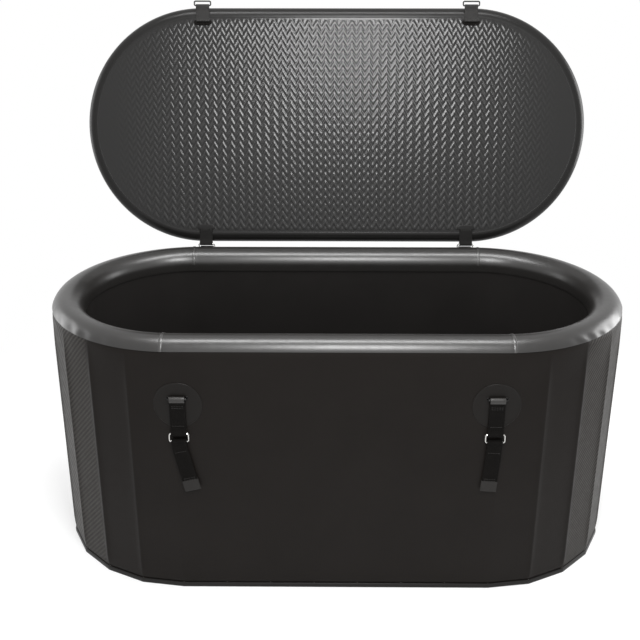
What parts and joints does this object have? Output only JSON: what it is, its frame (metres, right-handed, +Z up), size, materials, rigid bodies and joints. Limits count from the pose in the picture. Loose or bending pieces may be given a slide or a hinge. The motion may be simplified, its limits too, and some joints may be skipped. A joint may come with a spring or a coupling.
{
  "type": "cold plunge tub",
  "caption": "Oval inflatable cold plunge tub with a drop-stitch wall, rounded rim and floor, a hinged padded lid, ring straps, air valves and a drain.",
  "frame": {"origin": "middle of the flat base, on the floor", "axes": "+Z up, X along the tub's length, -Y towards the front with the loose straps, +Y towards the hinged lid"},
  "size_m": [1.5, 0.9169, 1.3757],
  "materials": {
    "wall_cloth": "matte coated cloth",
    "rim_cloth": "satin coated cloth",
    "lid_cloth": "embossed satin coated cloth",
    "drop_stitch": "polyester thread",
    "webbing": "woven polyester webbing",
    "metal": "plated steel wire",
    "valve_plastic": "moulded plastic",
    "rubber": "matte rubber"
  },
  "bodies": {
    "tub": {"wall_outer_skin": "wall_cloth", "wall_inner_skin": "wall_cloth", "wall_drop_stitch": "drop_stitch", "rim_band": "rim_cloth", "base_band": "wall_cloth", "rim_seam_tape_front_left": "rim_cloth", "rim_seam_tape_front_right": "rim_cloth", "rim_seam_tape_rear_left": "rim_cloth", "rim_seam_tape_rear_right": "rim_cloth", "floor_lower_skin": "wall_cloth", "floor_upper_skin": "wall_cloth", "floor_edge_band": "wall_cloth", "floor_drop_stitch": "drop_stitch", "cove_tape": "wall_cloth", "front_strap_patch_left": "wall_cloth", "front_strap_bar_left": "metal", "rear_strap_patch_left": "wall_cloth", "rear_strap_bar_left": "metal", "rear_strap_webbing_left": "webbing", "hinge_ring_left": "metal", "front_strap_patch_right": "wall_cloth", "front_strap_bar_right": "metal", "rear_strap_patch_right": "wall_cloth", "rear_strap_bar_right": "metal", "rear_strap_webbing_right": "webbing", "hinge_ring_right": "metal", "wall_valve_body": "valve_plastic", "wall_valve_spring": "metal", "drain_body": "valve_plastic", "drain_gasket": "rubber", "drain_nut": "valve_plastic"},
    "lid": {"lid_lower_skin": "lid_cloth", "lid_upper_skin": "lid_cloth", "lid_edge_band": "rim_cloth", "lid_drop_stitch": "drop_stitch", "lid_front_tab_left": "webbing", "lid_front_tab_patch_left": "wall_cloth", "lid_rear_tab_left": "webbing", "lid_rear_tab_patch_left": "wall_cloth", "lid_ring_left": "metal", "lid_front_tab_right": "webbing", "lid_front_tab_patch_right": "wall_cloth", "lid_rear_tab_right": "webbing", "lid_rear_tab_patch_right": "wall_cloth", "lid_ring_right": "metal", "lid_valve_body": "valve_plastic", "lid_valve_spring": "metal"},
    "strap_left": {"front_strap_webbing_left": "webbing"},
    "tail_left": {"strap_ring_left_1": "metal", "strap_ring_left_2": "metal", "front_strap_tail_left": "webbing"},
    "strap_right": {"front_strap_webbing_right": "webbing"},
    "tail_right": {"strap_ring_right_1": "metal", "strap_ring_right_2": "metal", "front_strap_tail_right": "webbing"},
    "wall_valve_poppet": {"wall_valve_poppet": "valve_plastic"},
    "wall_valve_cap": {"wall_valve_cap": "valve_plastic"},
    "lid_valve_poppet": {"lid_valve_poppet": "valve_plastic"},
    "lid_valve_cap": {"lid_valve_cap": "valve_plastic"},
    "drain_cap": {"drain_cap": "valve_plastic"}
  },
  "joints": [
    {"name": "lid_hinge", "type": "hinge", "parent": "tub", "child": "lid", "pos_m": [0, 0.341, 0.7018], "axis": [1, 0, 0], "range_deg": [0, 104]},
    {"name": "front_strap_swing_left", "type": "hinge", "parent": "tub", "child": "strap_left", "pos_m": [-0.383, -0.36053, 0.552], "axis": [-1, 0, 0], "range_deg": [0, 140]},
    {"name": "strap_tail_swing_left", "type": "hinge", "parent": "strap_left", "child": "tail_left", "pos_m": [-0.383, -0.36053, 0.458], "axis": [-1, 0, 0], "range_deg": [0, 70]},
    {"name": "front_strap_swing_right", "type": "hinge", "parent": "tub", "child": "strap_right", "pos_m": [0.383, -0.36053, 0.552], "axis": [-1, 0, 0], "range_deg": [0, 140]},
    {"name": "strap_tail_swing_right", "type": "hinge", "parent": "strap_right", "child": "tail_right", "pos_m": [0.383, -0.36053, 0.458], "axis": [-1, 0, 0], "range_deg": [0, 70]},
    {"name": "wall_valve_push", "type": "slide", "parent": "tub", "child": "wall_valve_poppet", "axis": [0, -1, 0], "range_m": [0, 0.005], "stiffness_N_per_m": 400, "deforming": ["wall_valve_spring"]},
    {"name": "wall_valve_cap_pull", "type": "slide", "parent": "tub", "child": "wall_valve_cap", "axis": [0, 1, 0], "range_m": [0, 0.04]},
    {"name": "lid_valve_push", "type": "slide", "parent": "lid", "child": "lid_valve_poppet", "axis": [0, -0.9703, 0.2419], "range_m": [0, 0.005], "stiffness_N_per_m": 400, "deforming": ["lid_valve_spring"]},
    {"name": "lid_valve_cap_pull", "type": "slide", "parent": "lid", "child": "lid_valve_cap", "axis": [0, 0.9703, -0.2419], "range_m": [0, 0.04]},
    {"name": "drain_cap_pull", "type": "slide", "parent": "tub", "child": "drain_cap", "axis": [0, 1, 0], "range_m": [0, 0.04]}
  ]
}
